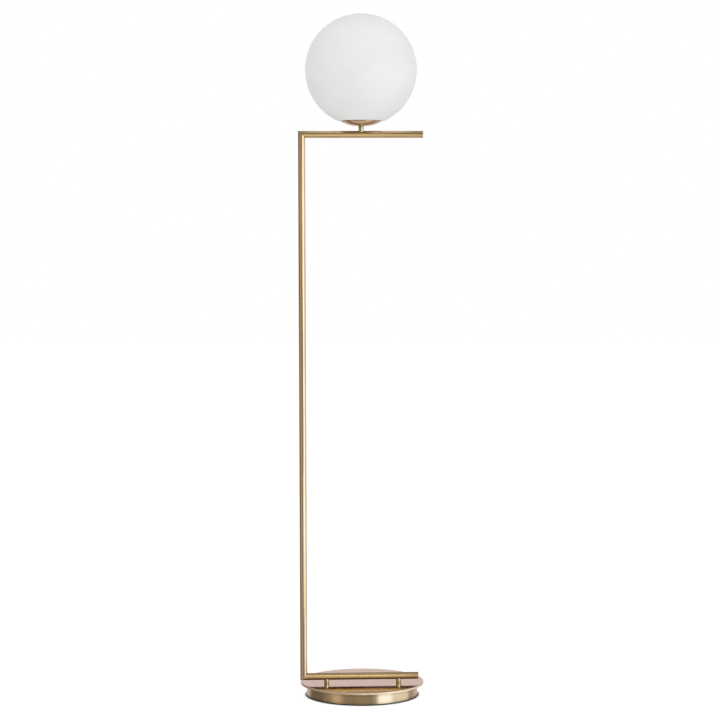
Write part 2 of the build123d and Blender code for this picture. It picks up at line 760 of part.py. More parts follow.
# Cap: the lower half, screwed down on the stem's nipple.
neck_radius = holder_neck_diameter / 2
cap_radius = holder_diameter / 2
holder_collar_top = holder_bottom + holder_collar_height
holder_flare_top = holder_collar_top + holder_flare_height
with BuildPart() as holder_cap:
    with BuildSketch(Plane.XZ) as cap_profile:
        with BuildLine():
            Polyline(
                (tapped_radius, holder_bottom),
                (neck_radius, holder_bottom),
                (neck_radius, holder_collar_top),
            )
            Line(
                (neck_radius, holder_collar_top),
                (cap_radius, holder_flare_top),
            )
            Polyline(
                (cap_radius, holder_flare_top),
                (cap_radius, holder_shoulder),
                (insert_radius, holder_shoulder),
                (insert_radius, insert_bottom),
                (insert_radius - holder_wall, insert_bottom),
                (insert_radius - holder_wall, holder_flare_top),
                (neck_radius - holder_wall / 2, holder_bottom + holder_thread_height),
                (tapped_radius, holder_bottom + holder_thread_height),
                (tapped_radius, holder_bottom),
            )
        make_face()
        bends = cap_profile.vertices()
        fillet(bends.sort_by_distance((cap_radius, holder_flare_top))[0], holder_shoulder_radius)
    revolve(axis=Axis.Z)
write(holder_cap, "holder_cap")

# Skirt: the grooved sleeve round the socket, with a narrower mouth.
with BuildPart() as holder_skirt:
    with BuildSketch(Plane.XZ):
        with Locations(((skirt_bore_radius + cap_radius) / 2, (holder_shoulder + skirt_top) / 2)):
            Rectangle(holder_wall, skirt_top - holder_shoulder)
        with Locations(((skirt_mouth_diameter / 2 + cap_radius) / 2, skirt_top - holder_wall / 2)):
            Rectangle(cap_radius - skirt_mouth_diameter / 2, holder_wall)
        for step in range(skirt_groove_count):
            with Locations((cap_radius, insert_top + (step + 0.5) * skirt_groove_pitch)):
                Circle(skirt_groove_depth, mode=Mode.SUBTRACT)
    revolve(axis=Axis.Z)
    chamfer(holder_skirt.edges().group_by(Axis.Z)[-1].sort_by(SortBy.RADIUS)[-1], holder_wall / 4)
write(holder_skirt, "holder_skirt")

# Insert: the ceramic puck that carries the contacts.
with BuildPart() as holder_insert:
    with BuildSketch(Plane.XY.offset(insert_bottom)):
        Circle(insert_radius)
    extrude(amount=insert_height)
    with BuildSketch(Plane.XY.offset(insert_top - insert_well_depth)):
        Circle(insert_well_diameter / 2)
    extrude(amount=insert_well_depth, mode=Mode.SUBTRACT)
    with BuildSketch(Plane.XY.offset(insert_bottom)):
        with PolarLocations(holder_screw_offset, 2):
            Circle(holder_screw_diameter / 2 + thread_clearance)
    extrude(amount=insert_height, mode=Mode.SUBTRACT)
write(holder_insert, "holder_insert")

with BuildPart() as holder_screws:
    with BuildSketch(Plane.XY.offset(insert_top - holder_screw_length)):
        with PolarLocations(holder_screw_offset, 2):
            Circle(holder_screw_diameter / 2)
    extrude(amount=holder_screw_length)
    with BuildSketch(Plane.XY.offset(insert_top - screw_slot_depth)):
        with PolarLocations(holder_screw_offset, 2):
            Rectangle(holder_screw_diameter, screw_slot_width)
    extrude(amount=screw_slot_depth, mode=Mode.SUBTRACT)
write(holder_screws, "holder_screws")

# Screw shell: thin brass pressed into the thread's rings.
thread_middle = thread_diameter / 2 - thread_depth / 2
thread_bottom = bulb_cap_bottom + thread_pitch / 2
thread_top = thread_bottom + thread_turns * thread_pitch
shell_inside = thread_middle + thread_gap
shell_outside = shell_inside + shell_wall
with BuildPart() as screw_shell:
    with BuildSketch(Plane.XZ):
        with BuildLine():
            Line((shell_inside, insert_top), (shell_inside, thread_bottom))
            thread_wave(shell_inside, thread_bottom)
            Polyline(
                (shell_inside, thread_top),
                (shell_inside, insert_top + shell_height),
                (shell_outside, insert_top + shell_height),
                (shell_outside, thread_top),
            )
            thread_wave(shell_outside, thread_bottom)
            Polyline((shell_outside, thread_bottom), (shell_outside, insert_top), (shell_inside, insert_top))
        make_face()
    revolve(axis=Axis.Z)
write(screw_shell, "screw_shell")

# Centre contact: a leaf that rises from the insert's well to meet the bulb.
with BuildPart() as centre_contact:
    with BuildLine() as contact_route:
        FilletPolyline(
            (-contact_length / 2, 0, insert_top - insert_well_depth + contact_thickness / 2),
            (contact_length / 4, 0, insert_top - insert_well_depth + contact_thickness / 2),
            (contact_length / 4, 0, insert_top + contact_height - contact_thickness / 2),
            (-contact_length / 4, 0, insert_top + contact_height - contact_thickness / 2),
            radius=contact_thickness * 2,
        )
    with BuildSketch(Plane(origin=contact_route.line @ 0, x_dir=(0, 1, 0), z_dir=(1, 0, 0))):
        Rectangle(contact_width, contact_thickness)
    sweep()
write(centre_contact, "centre_contact")

# ---------------------------------------------------------------- bulb
with BuildPart() as bulb_contact:
    with BuildSketch(Plane.XY.offset(bulb_tip)):
        Circle(button_diameter / 2)
    extrude(amount=button_height)
    fillet(bulb_contact.edges().group_by(Axis.Z)[0], button_height / 2)
write(bulb_contact, "bulb_contact")

with BuildPart() as bulb_insulator:
    with BuildSketch(Plane.XY.offset(bulb_tip + button_height)):
        Circle(button_diameter / 2 + button_height)
    with BuildSketch(Plane.XY.offset(bulb_cap_bottom)):
        Circle(insulator_diameter / 2)
    loft()
write(bulb_insulator, "bulb_insulator")

# Screw cap: a plated shell whose rings run in the holder's screw shell.
cap_inside = thread_middle - thread_depth / 2 - bulb_cap_wall
insulator_radius = insulator_diameter / 2
with BuildPart() as bulb_cap:
    with BuildSketch(Plane.XZ):
        with BuildLine():
            Polyline(
                (0, bulb_cap_bottom),
                (insulator_radius, bulb_cap_bottom),
                (thread_middle, thread_bottom),
            )
            thread_wave(thread_middle, thread_bottom)
            Polyline(
                (thread_middle, thread_top),
                (thread_middle, bulb_cap_top),
                (cap_inside, bulb_cap_top),
                (cap_inside, thread_bottom + bulb_cap_wall),
                (insulator_radius - bulb_cap_wall, bulb_cap_bottom + bulb_cap_wall),
                (0, bulb_cap_bottom + bulb_cap_wall),
                (0, bulb_cap_bottom),
            )
        make_face()
    revolve(axis=Axis.Z)
write(bulb_cap, "bulb_cap")

# Body: the bulb's plastic housing, which flares from the cap to the glass.
neck = bulb_neck_diameter / 2
body_radius = bulb_body_diameter / 2
with BuildPart() as bulb_body:
    with BuildSketch(Plane.XZ):
        with BuildLine():
            Line((0, bulb_cap_top), (neck, bulb_cap_top))
            Spline(
                (neck, bulb_cap_top),
                (body_radius, bulb_body_top),
                tangents=((0, 1), (bulb_diameter / bulb_body_height / 2, 1)),
            )
            Polyline((body_radius, bulb_body_top), (0, bulb_body_top), (0, bulb_cap_top))
        make_face()
    revolve(axis=Axis.Z)
write(bulb_body, "bulb_body")

# Glass: a frosted ball cut flat where it meets the body.
bulb_radius = bulb_diameter / 2
bulb_centre = bulb_body_top + sqrt(bulb_radius**2 - body_radius**2)
bulb_inner = bulb_radius - bulb_glass_wall
with BuildPart() as bulb_glass:
    with BuildSketch(Plane.XZ):
        with Locations((0, bulb_centre)):
            Circle(bulb_radius)
            Circle(bulb_inner, mode=Mode.SUBTRACT)
        with Locations((bulb_radius / 2, bulb_body_top + bulb_radius)):
            Rectangle(bulb_radius, 2 * bulb_radius, mode=Mode.INTERSECT)
    revolve(axis=Axis.Z)
write(bulb_glass, "bulb_glass")

with BuildPart() as led_board:
    with BuildSketch(Plane.XY.offset(bulb_body_top)):
        Circle(led_board_diameter / 2)
    extrude(amount=led_board_thickness)
    with BuildSketch(Plane.XY.offset(bulb_body_top + led_board_thickness)):
        with PolarLocations(led_circle_diameter / 2, led_count):
            Rectangle(led_size, led_size)
    extrude(amount=led_thickness)
write(led_board, "led_board")

print("overall height", globe_centre + outer_radius)
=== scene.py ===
"""Looks of the globe floor lamp: opal ball, satin brass frame, polished base plate, pale floor.

Lengths are in metres, angles in radians and colours linear. The lamp's arms run along X, away from
the post, and its front looks along -Y.
"""

import json
import math
import bpy
from mathutils import Matrix, Vector


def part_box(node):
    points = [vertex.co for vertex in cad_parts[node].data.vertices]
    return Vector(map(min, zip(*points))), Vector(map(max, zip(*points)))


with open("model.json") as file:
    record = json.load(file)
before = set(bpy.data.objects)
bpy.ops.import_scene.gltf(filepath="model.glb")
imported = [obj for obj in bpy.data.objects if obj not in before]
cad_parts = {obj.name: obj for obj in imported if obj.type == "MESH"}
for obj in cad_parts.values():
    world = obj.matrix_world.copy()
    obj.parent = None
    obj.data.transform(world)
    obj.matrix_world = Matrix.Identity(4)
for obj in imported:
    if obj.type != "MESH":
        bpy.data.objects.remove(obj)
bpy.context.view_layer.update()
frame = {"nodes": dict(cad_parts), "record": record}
nodes = frame["nodes"]

# ---------------------------------------------------------------- camera
CAMERA_DISTANCE = 6.000  # level distance from the lamp's axis
CAMERA_HEIGHT = 1.2631
CAMERA_SIDE = 0.0042  # offset to its own right
CAMERA_PAN = -0.0015
CAMERA_TILT = 0.0572  # downwards
CAMERA_ROLL = -0.0028
CAMERA_LENS = 111.09  # mm, on the sensor below
CAMERA_SENSOR = 36.0  # mm
CAMERA_NEAR = 0.1
CAMERA_FAR = 60.0
LAMP_TURN = 0.0485  # how far the lamp is turned away from square to the camera


def make_camera():
    """The photograph's viewpoint, built level in its own heading and then turned with the lamp."""
    camera_data = bpy.data.cameras.new("camera")
    camera_data.lens = CAMERA_LENS
    camera_data.sensor_width = CAMERA_SENSOR
    camera_data.clip_start = CAMERA_NEAR
    camera_data.clip_end = CAMERA_FAR
    camera = bpy.data.objects.new("camera", camera_data)
    bpy.context.scene.collection.objects.link(camera)
    place = Matrix.Rotation(-LAMP_TURN, 4, "Z") @ Matrix.Translation(
        (CAMERA_SIDE, -CAMERA_DISTANCE, CAMERA_HEIGHT)
    )
    aim = (
        Matrix.Rotation(-CAMERA_PAN, 4, "Z")
        @ Matrix.Rotation(math.pi / 2 - CAMERA_TILT, 4, "X")
        @ Matrix.Rotation(CAMERA_ROLL, 4, "Z")
    )
    camera.matrix_world = place @ aim
    bpy.context.scene.camera = camera


# ---------------------------------------------------------------- node tools
NOISE_LOW, NOISE_HIGH = 0.3, 0.7  # noise seldom leaves this span


def add_node(tree, kind, inputs=None, **settings):
    """A node with its settings and inputs; an input is a value, or a socket to link."""
    node = tree.nodes.new(kind)
    for key, value in settings.items():
        setattr(node, key, value)
    for key, value in (inputs or {}).items():
        if isinstance(value, bpy.types.NodeSocket):
            tree.links.new(value, node.inputs[key])
        else:
            node.inputs[key].default_value = value
    return node


def maths(tree, operation, *values):
    """A Math node's result."""
    node = add_node(tree, "ShaderNodeMath", dict(enumerate(values)), operation=operation)
    return node.outputs[0]


def ramp(tree, factor, stops):
    """Colours blended softly along a factor; stops is a list of (place, colour)."""
    node = add_node(tree, "ShaderNodeValToRGB", {"Fac": factor})
    node.color_ramp.interpolation = "EASE"
    elements = node.color_ramp.elements
    while len(elements) < len(stops):
        elements.new(1.0)
    for element, (place, colour) in zip(elements, stops):
        element.position = place
        element.color = colour
    return node.outputs["Color"]


def noise(tree, vector, scale, detail=2.0, roughness=0.5):
    """Smooth noise from 0 to 1."""
    inputs = {"Vector": vector, "Scale": scale, "Detail": detail, "Roughness": roughness}
    return add_node(tree, "ShaderNodeTexNoise", inputs).outputs["Fac"]


def ranged(tree, value, low, high, start=NOISE_LOW, end=NOISE_HIGH):
    """Runs from low to high while the value goes from start to end."""
    inputs = {"Value": value, "From Min": start, "From Max": end, "To Min": low, "To Max": high}
    return add_node(tree, "ShaderNodeMapRange", inputs).outputs["Result"]


def mixed(tree, factor, first, second):
    """Two colours blended."""
    inputs = {0: factor, 6: first, 7: second}
    return add_node(tree, "ShaderNodeMix", inputs, data_type="RGBA").outputs[2]


def bump(tree, height, distance, below=None):
    """A bumped normal; distance is the depth of the relief."""
    inputs = {"Height": height, "Distance": distance, "Strength": 1.0}
    if below is not None:
        inputs["Normal"] = below
    return add_node(tree, "ShaderNodeBump", inputs).outputs["Normal"]


def open_space(tree, distance):
    """1 in the open, and less where other surfaces are nearer than the distance."""
    node = add_node(tree, "ShaderNodeAmbientOcclusion", {"Distance": distance}, samples=8)
    return node.outputs["AO"]


def place_vector(tree, stretch=(1, 1, 1)):
    """The point on the lamp, stretched along each axis."""
    point = add_node(tree, "ShaderNodeTexCoord").outputs["Object"]
    return add_node(tree, "ShaderNodeMapping", {"Vector": point, "Scale": stretch}).outputs[0]


def ring_vector(tree, across, along, axis_y=0.0):
    """A vector that changes quickly across rings round an upright axis and slowly along them."""
    drift_reach = 6.0
    place = add_node(tree, "ShaderNodeTexCoord").outputs["Object"]
    to_axis = {0: place, 1: (0, -axis_y, 0)}
    point = add_node(tree, "ShaderNodeVectorMath", to_axis, operation="ADD").outputs[0]
    parts = add_node(tree, "ShaderNodeSeparateXYZ", {0: point})
    to_level = {0: point, 1: (1, 1, 0)}
    level = add_node(tree, "ShaderNodeVectorMath", to_level, operation="MULTIPLY").outputs[0]
    radius = add_node(tree, "ShaderNodeVectorMath", {0: level}, operation="LENGTH")
    drift = noise(tree, place_vector(tree), scale=along, detail=1.0)
    return add_node(
        tree,
        "ShaderNodeCombineXYZ",
        {
            0: maths(tree, "MULTIPLY", radius.outputs["Value"], across),
            1: maths(tree, "MULTIPLY", parts.outputs["Z"], across),
            2: maths(tree, "MULTIPLY", drift, drift_reach),
        },
    ).outputs[0]


def new_material(name):
    """A node material, its tree and its shader."""
    material = bpy.data.materials.new(name)
    material.use_nodes = True
    tree = material.node_tree
    return material, tree, tree.nodes["Principled BSDF"]


def set_shader(shader, **values):
    """Constants of a shader, each on its own socket; an underscore stands for a space."""
    for key, value in values.items():
        shader.inputs[key.replace("_", " ")].default_value = value


def link_surface(tree, shader, tone, gloss, normal):
    """Put a surface's tone, roughness and normal on its shader."""
    tree.links.new(tone, shader.inputs["Base Color"])
    tree.links.new(gloss, shader.inputs["Roughness"])
    tree.links.new(normal, shader.inputs["Normal"])


# ---------------------------------------------------------------- stage and light
WHITE = (1, 1, 1, 1)  # what the camera sees of the studio
AMBIENT = (0.92, 0.92, 0.92, 1)  # what lights surfaces that aren't mirrors

# What metal mirrors, by the heading it looks in: 0.5 is ahead of the lamp (-Y), 0.75 is its right
# (+X), 0.25 its left, and 0 and 1 are behind it.
ROOM_WALLS = [
    (0.00, (0.74, 0.66, 0.68, 1)),
    (0.08, (0.62, 0.58, 0.59, 1)),
    (0.14, (0.20, 0.19, 0.18, 1)),
    (0.22, (0.20, 0.19, 0.18, 1)),
    (0.28, (0.34, 0.32, 0.31, 1)),
    (0.34, (0.68, 0.64, 0.62, 1)),
    (0.40, (0.34, 0.33, 0.31, 1)),
    (0.54, (0.29, 0.28, 0.25, 1)),
    (0.572, (0.42, 0.43, 0.43, 1)),
    (0.595, (1.45, 1.72, 2.20, 1)),
    (0.655, (1.50, 1.78, 2.30, 1)),
    (0.69, (1.00, 1.12, 1.30, 1)),
    (0.79, (0.98, 1.08, 1.24, 1)),
    (0.82, (0.40, 0.39, 0.38, 1)),
    (0.90, (0.62, 0.58, 0.59, 1)),
    (1.00, (0.74, 0.66, 0.68, 1)),
]
ROOM_AHEAD = 0.5
ROOM_CEILING = (0.28, 0.27, 0.26, 1)
CEILING_EDGE = (0.22, 0.60)  # the direction's Z where it begins, and where it is full
ROOM_PATCH = (0.98, 0.97, 0.68, 1)  # pale floor, low and straight ahead
PATCH_SIDES = (0.02, 0.045)  # headings off straight ahead where it is full, and where it ends
PATCH_TOP = (-0.26, -0.38)  # the direction's Z where it begins, and where it is full
PATCH_FOOT = (-0.78, -0.60)  # the direction's Z where it ends, and where it is still full

FLOOR_SIDE = 40.0
FLOOR_DROP = 0.0001
FLOOR_COLOUR = (0.87, 0.865, 0.86, 1)
FLOOR_SEEN = (0.17, 0.17, 0.17, 1)  # the floor's colour to the camera, under its lift
FLOOR_LIFT = 0.90  # what the floor shows to the camera on top of its own shade
FLOOR_ROUGHNESS = 0.9
CONTACT = 0.010  # how near the base the painted contact shadow on the floor reaches
CONTACT_OPENNESS = (0.68, 0.95)  # without any lift, and with all of it

# Metal mirrors each soft box as bright as its glow.
SOFT_BOXES = {
    # tall, at the right front
    "key": dict(place=(1.7, -3.1, 1.20), target=(0, 0, 1.10), width=1.1, height=2.4, glow=1.30),
    # wide and weak, over the lamp
    "over": dict(place=(0.2, -0.4, 4.2), target=(0, 0, 0.8), width=2.6, height=2.6, glow=0.15),
    # low, close before the lower arm
    "strip": dict(
        place=(0.02, -0.70, 0.33),
        target=(0.02, 0, 0.33),
        width=0.36,
        height=0.44,
        glow=0.95,
        colour=(0.88, 0.98, 0.72),
    ),
    # the sheen of the upper arm
    "card": dict(
        place=(0.03, -1.64, 1.26),
        target=(0.03, 0, 1.40),
        width=0.50,
        height=0.50,
        glow=1.05,
        colour=(1.0, 0.92, 0.80),
        mirrored_only=True,
    ),
}


def mirrored_room(tree):
    """The studio that metal mirrors: bright at the right, weaker at the left and dim above."""
    direction = add_node(tree, "ShaderNodeTexCoord").outputs["Generated"]
    parts = add_node(tree, "ShaderNodeSeparateXYZ", {0: direction})
    forward = maths(tree, "MULTIPLY", parts.outputs["Y"], -1.0)
    heading = maths(tree, "ARCTAN2", parts.outputs["X"], forward)
    turn = maths(tree, "ADD", maths(tree, "DIVIDE", heading, 2 * math.pi), ROOM_AHEAD)
    walls = ramp(tree, turn, ROOM_WALLS)
    aside = maths(tree, "ABSOLUTE", maths(tree, "SUBTRACT", turn, ROOM_AHEAD))
    ahead = ranged(tree, aside, 1.0, 0.0, *PATCH_SIDES)
    low = ranged(tree, parts.outputs["Z"], 0.0, 1.0, *PATCH_TOP)
    not_under = ranged(tree, parts.outputs["Z"], 0.0, 1.0, *PATCH_FOOT)
    patch = maths(tree, "MULTIPLY", ahead, maths(tree, "MULTIPLY", low, not_under))
    room = mixed(tree, patch, walls, ROOM_PATCH)
    overhead = ranged(tree, parts.outputs["Z"], 0.0, 1.0, *CEILING_EDGE)
    return mixed(tree, overhead, room, ROOM_CEILING)


def make_world():
    """A studio that is plain white to the camera, and whose light and dark sides metal mirrors."""
    world = bpy.data.worlds.new("studio")
    bpy.context.scene.world = world
    world.use_nodes = True
    tree = world.node_tree
    background = tree.nodes["Background"]
    path = add_node(tree, "ShaderNodeLightPath").outputs
    seen = maths(tree, "MAXIMUM", path["Is Camera Ray"], path["Is Transmission Ray"])
    unseen = mixed(tree, path["Is Glossy Ray"], AMBIENT, mirrored_room(tree))
    tree.links.new(mixed(tree, seen, unseen, WHITE), background.inputs["Color"])


def make_floor():
    """A floor that the camera sees white, with its shadow and a painted contact shadow round the
    base; metal mirrors the room through it.
    """
    half = FLOOR_SIDE / 2
    mesh = bpy.data.meshes.new("floor")
    corners = [(-half, -half), (half, -half), (half, half), (-half, half)]
    mesh.from_pydata([(x, y, -FLOOR_DROP) for x, y in corners], [], [(0, 1, 2, 3)])
    floor = bpy.data.objects.new("floor", mesh)
    bpy.context.scene.collection.objects.link(floor)
    material, tree, shader = new_material("pale_floor")
    path = add_node(tree, "ShaderNodeLightPath").outputs
    shader.inputs["Roughness"].default_value = FLOOR_ROUGHNESS
    shader.inputs["Specular IOR Level"].default_value = 0.0
    shader.inputs["Emission Color"].default_value = WHITE
    seen = maths(tree, "MAXIMUM", path["Is Camera Ray"], path["Is Transmission Ray"])
    tree.links.new(mixed(tree, seen, FLOOR_COLOUR, FLOOR_SEEN), shader.inputs["Base Color"])
    # painted contact shadow: the lift that the camera sees fades where the base is near
    lift = ranged(tree, open_space(tree, CONTACT), 0.0, FLOOR_LIFT, *CONTACT_OPENNESS)
    tree.links.new(maths(tree, "MULTIPLY", seen, lift), shader.inputs["Emission Strength"])
    see_through = add_node(tree, "ShaderNodeBsdfTransparent").outputs[0]
    surface = add_node(
        tree,
        "ShaderNodeMixShader",
        {0: path["Is Glossy Ray"], 1: shader.outputs[0], 2: see_through},
    )
    tree.links.new(surface.outputs[0], tree.nodes["Material Output"].inputs["Surface"])
    mesh.materials.append(material)


def soft_box(
    name, place, target, width, height, glow, colour=(1, 1, 1), mirrored_only=False
):
    """A rectangular studio lamp that faces a point and that the camera doesn't see."""
    light = bpy.data.lights.new(name, "AREA")
    light.shape = "RECTANGLE"
    light.size = width
    light.size_y = height
    light.energy = glow * math.pi * width * height
    light.color = colour
    lamp = bpy.data.objects.new(name, light)
    lamp.location = place
    lamp.rotation_euler = (Vector(place) - Vector(target)).to_track_quat("Z", "Y").to_euler()
    lamp.visible_camera = False
    lamp.visible_diffuse = not mirrored_only
    bpy.context.scene.collection.objects.link(lamp)


def make_lights():
    """The studio's soft boxes."""
    for name, settings in SOFT_BOXES.items():
        soft_box(name, **settings)


# ---------------------------------------------------------------- brass
BRASS_LIGHT = (0.76, 0.56, 0.335, 1)
BRASS_DARK = (0.67, 0.475, 0.27, 1)
BRASS_WARM = (0.66, 0.44, 0.23, 1)
# painted shade: the tone that brass darkens towards where other surfaces are near
BRASS_PAINTED_SHADE = (0.16, 0.12, 0.05, 1)
CREVICE = 0.014  # how near another surface the painted shade on brass begins
# how near another surface the painted shade on the arms begins
ARM_CREVICE = 0.030
CREVICE_OPENNESS = (0.30, 0.90)  # fully shaded, and not at all
HAIRLINE = 2600.0  # hairlines per metre, across the brushing
HAIRLINE_RUN = 14.0  # the same along it
HAIRLINE_RELIEF = 0.0000025
RING_RUN = 12.0  # changes per metre along a turned ring
QUARTER_TURN = 0.25  # turns the gloss of a turned ring across its hairlines
BASE_AXIS_Y = sum(corner[1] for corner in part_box("base_drum")) / 2
PLATE_LIGHT = (0.79, 0.595, 0.47, 1)
PLATE_WARM = (0.75, 0.55, 0.38, 1)
# painted highlight: a lighter tone on the plate's rounded side
PLATE_EDGE_HIGHLIGHT = (0.95, 0.74, 0.54, 1)
PLATE_ROUNDING = 0.0024
PLATE_RING = 1400.0  # turning rings per metre
PLATE_RING_RUN = 10.0
PLATE_RING_RELIEF = 0.000002
UPRIGHT = (0.3, 0.95)  # the normal's height on the plate's side, and on its top


def brass(name, hairlines, roughness, anisotropy=0.0, axis="Z", rotation=0.0, crevice=CREVICE):
    """Brushed brass: fine hairlines, clouds in tone and gloss, warmer stains, and painted shade
    that darkens it near other surfaces.
    """
    material, tree, shader = new_material(name)
    lines = noise(tree, hairlines(tree), scale=1.0, detail=2.0, roughness=0.6)
    clouds = noise(tree, place_vector(tree), scale=9.0, detail=3.0, roughness=0.55)
    stains = noise(tree, place_vector(tree), scale=31.0, detail=4.0, roughness=0.6)
    stained = ranged(tree, stains, low=0, high=0.35, start=0.52, end=0.78)
    tone = mixed(tree, ranged(tree, clouds, low=0, high=1), BRASS_DARK, BRASS_LIGHT)
    tone = mixed(tree, stained, tone, BRASS_WARM)
    tone = mixed(tree, ranged(tree, lines, low=0, high=0.08), tone, BRASS_DARK)
    # painted shade: the tone darkens where other surfaces are near
    openness = ranged(tree, open_space(tree, crevice), 0, 1, *CREVICE_OPENNESS)
    tone = mixed(tree, openness, BRASS_PAINTED_SHADE, tone)
    line_gloss = ranged(tree, lines, low=-0.035, high=0.045)
    cloud_gloss = ranged(tree, clouds, low=-0.03, high=0.03)
    gloss = maths(tree, "ADD", maths(tree, "ADD", line_gloss, cloud_gloss), roughness)
    link_surface(tree, shader, tone, gloss, bump(tree, lines, HAIRLINE_RELIEF))
    set_shader(shader, Metallic=1.0, Anisotropic=anisotropy)
    if anisotropy:
        set_shader(shader, Anisotropic_Rotation=rotation)
        tangent = add_node(tree, "ShaderNodeTangent", direction_type="RADIAL", axis=axis)
        tree.links.new(tangent.outputs[0], shader.inputs["Tangent"])
    return material


def brass_along_x():
    """Brass with hairlines along the arms."""
    stretch = (HAIRLINE_RUN, HAIRLINE, HAIRLINE)
    return brass(
        "satin_brass_arm",
        lambda tree: place_vector(tree, stretch),
        roughness=0.20,
        anisotropy=0.6,
        axis="X",
        crevice=ARM_CREVICE,
    )


def brass_along_z():
    """Brass with hairlines up the post, the stem and the pegs."""
    stretch = (HAIRLINE, HAIRLINE, HAIRLINE_RUN)
    return brass("satin_brass_post", lambda tree: place_vector(tree, stretch), roughness=0.15)


def brass_rings(name, axis_y, roughness, anisotropy):
    """Brass turned on a lathe, with hairlines round an upright axis."""
    return brass(
        name,
        lambda tree: ring_vector(tree, HAIRLINE, RING_RUN, axis_y),
        roughness,
        anisotropy,
        rotation=QUARTER_TURN,
    )


def polished_brass():
    """The plate's near mirror: a satin edge lightened by a painted highlight, faint turning rings,
    smears and a few scratches.
    """
    material, tree, shader = new_material("polished_brass")
    ring_place = ring_vector(tree, PLATE_RING, PLATE_RING_RUN, BASE_AXIS_Y)
    rings = noise(tree, ring_place, scale=1.0, detail=2.0, roughness=0.5)
    smear_place = place_vector(tree, stretch=(1.0, 2.2, 1.0))
    smears = noise(tree, smear_place, scale=16.0, detail=4.0, roughness=0.6)
    scratch_place = place_vector(tree, stretch=(900, 26, 26))
    scratches = noise(tree, scratch_place, scale=1.0, detail=1.0, roughness=0.5)
    normal = add_node(tree, "ShaderNodeTexCoord").outputs["Normal"]
    normal_z = add_node(tree, "ShaderNodeSeparateXYZ", {0: normal}).outputs["Z"]
    upright = maths(tree, "ABSOLUTE", normal_z)
    # painted highlight: the plate's side takes a lighter tone
    edge_highlight_mask = ranged(tree, upright, 1.0, 0.0, *UPRIGHT)
    tone = mixed(tree, ranged(tree, smears, low=0, high=1), PLATE_WARM, PLATE_LIGHT)
    tone = mixed(tree, edge_highlight_mask, tone, PLATE_EDGE_HIGHLIGHT)
    smear_gloss = ranged(tree, smears, low=0.055, high=0.13)
    scratch_gloss = ranged(tree, scratches, low=0.0, high=0.10, start=0.62, end=0.80)
    edge_gloss = ranged(tree, upright, 0.50, 0.0, *UPRIGHT)
    gloss = maths(tree, "ADD", maths(tree, "ADD", smear_gloss, scratch_gloss), edge_gloss)
    rounded = add_node(tree, "ShaderNodeBevel", {"Radius": PLATE_ROUNDING}, samples=6)
    relief = bump(tree, rings, PLATE_RING_RELIEF, below=rounded.outputs["Normal"])
    link_surface(tree, shader, tone, gloss, relief)
    set_shader(shader, Metallic=1.0)
    return material


# ---------------------------------------------------------------- other materials
OPAL_COOL = (0.93, 0.93, 0.935, 1)
OPAL_WARM = (0.885, 0.88, 0.875, 1)
OPAL_MOTTLE = (0.88, 0.88, 0.89, 1)
OPAL_SWIRL_RELIEF = 0.0006
OPAL_GRAIN_RELIEF = 0.00001
IRON_PRIMER = (0.055, 0.055, 0.06, 1)
IRON_WORN = (0.15, 0.15, 0.155, 1)
IRON_RUSTY = (0.09, 0.075, 0.065, 1)
IRON_RELIEF = 0.0005

# Two close tones, roughness, grain per metre and relief of the grain; a metal's grain may be drawn
# out along an axis.
METALS = {
    "spring_steel": dict(
        first=(0.50, 0.50, 0.51, 1),
        second=(0.60, 0.60, 0.60, 1),
        roughness=0.28,
        grain_scale=900.0,
        relief=0.00001,
        stretch=(1, 1, 0.04),
    ),
    "zinc_steel": dict(
        first=(0.50, 0.52, 0.55, 1),
        second=(0.63, 0.63, 0.60, 1),
        roughness=0.36,
        grain_scale=500.0,
        relief=0.00002,
    ),
    "contact_brass": dict(
        first=(0.62, 0.42, 0.17, 1),
        second=(0.74, 0.54, 0.26, 1),
        roughness=0.25,
        grain_scale=700.0,
        relief=0.00001,
    ),
    "plated_cap": dict(
        first=(0.60, 0.60, 0.60, 1),
        second=(0.72, 0.71, 0.69, 1),
        roughness=0.22,
        grain_scale=800.0,
        relief=0.00001,
        stretch=(0.05, 0.05, 1),
    ),
}
DIELECTRICS = {
    "black_rubber": dict(
        first=(0.018, 0.018, 0.02, 1),
        second=(0.03, 0.03, 0.032, 1),
        roughness=0.75,
        grain_scale=900.0,
        relief=0.00006,
    ),
    "white_nylon": dict(
        first=(0.72, 0.72, 0.69, 1),
        second=(0.78, 0.78, 0.76, 1),
        roughness=0.42,
        grain_scale=600.0,
        relief=0.00003,
    ),
    "black_holder": dict(
        first=(0.012, 0.012, 0.012, 1),
        second=(0.022, 0.021, 0.02, 1),
        roughness=0.22,
        grain_scale=900.0,
        relief=0.00002,
    ),
    "white_ceramic": dict(
        first=(0.74, 0.72, 0.67, 1),
        second=(0.80, 0.79, 0.75, 1),
        roughness=0.25,
        grain_scale=300.0,
        relief=0.00004,
    ),
    "black_insulator": dict(
        first=(0.012, 0.012, 0.014, 1),
        second=(0.02, 0.02, 0.022, 1),
        roughness=0.12,
        grain_scale=500.0,
        relief=0.00002,
    ),
    "white_bulb_body": dict(
        first=(0.76, 0.76, 0.75, 1),
        second=(0.82, 0.82, 0.81, 1),
        roughness=0.3,
        grain_scale=800.0,
        relief=0.00002,
    ),
    "white_board": dict(
        first=(0.70, 0.71, 0.68, 1),
        second=(0.78, 0.78, 0.76, 1),
        roughness=0.4,
        grain_scale=500.0,
        relief=0.00003,
    ),
}


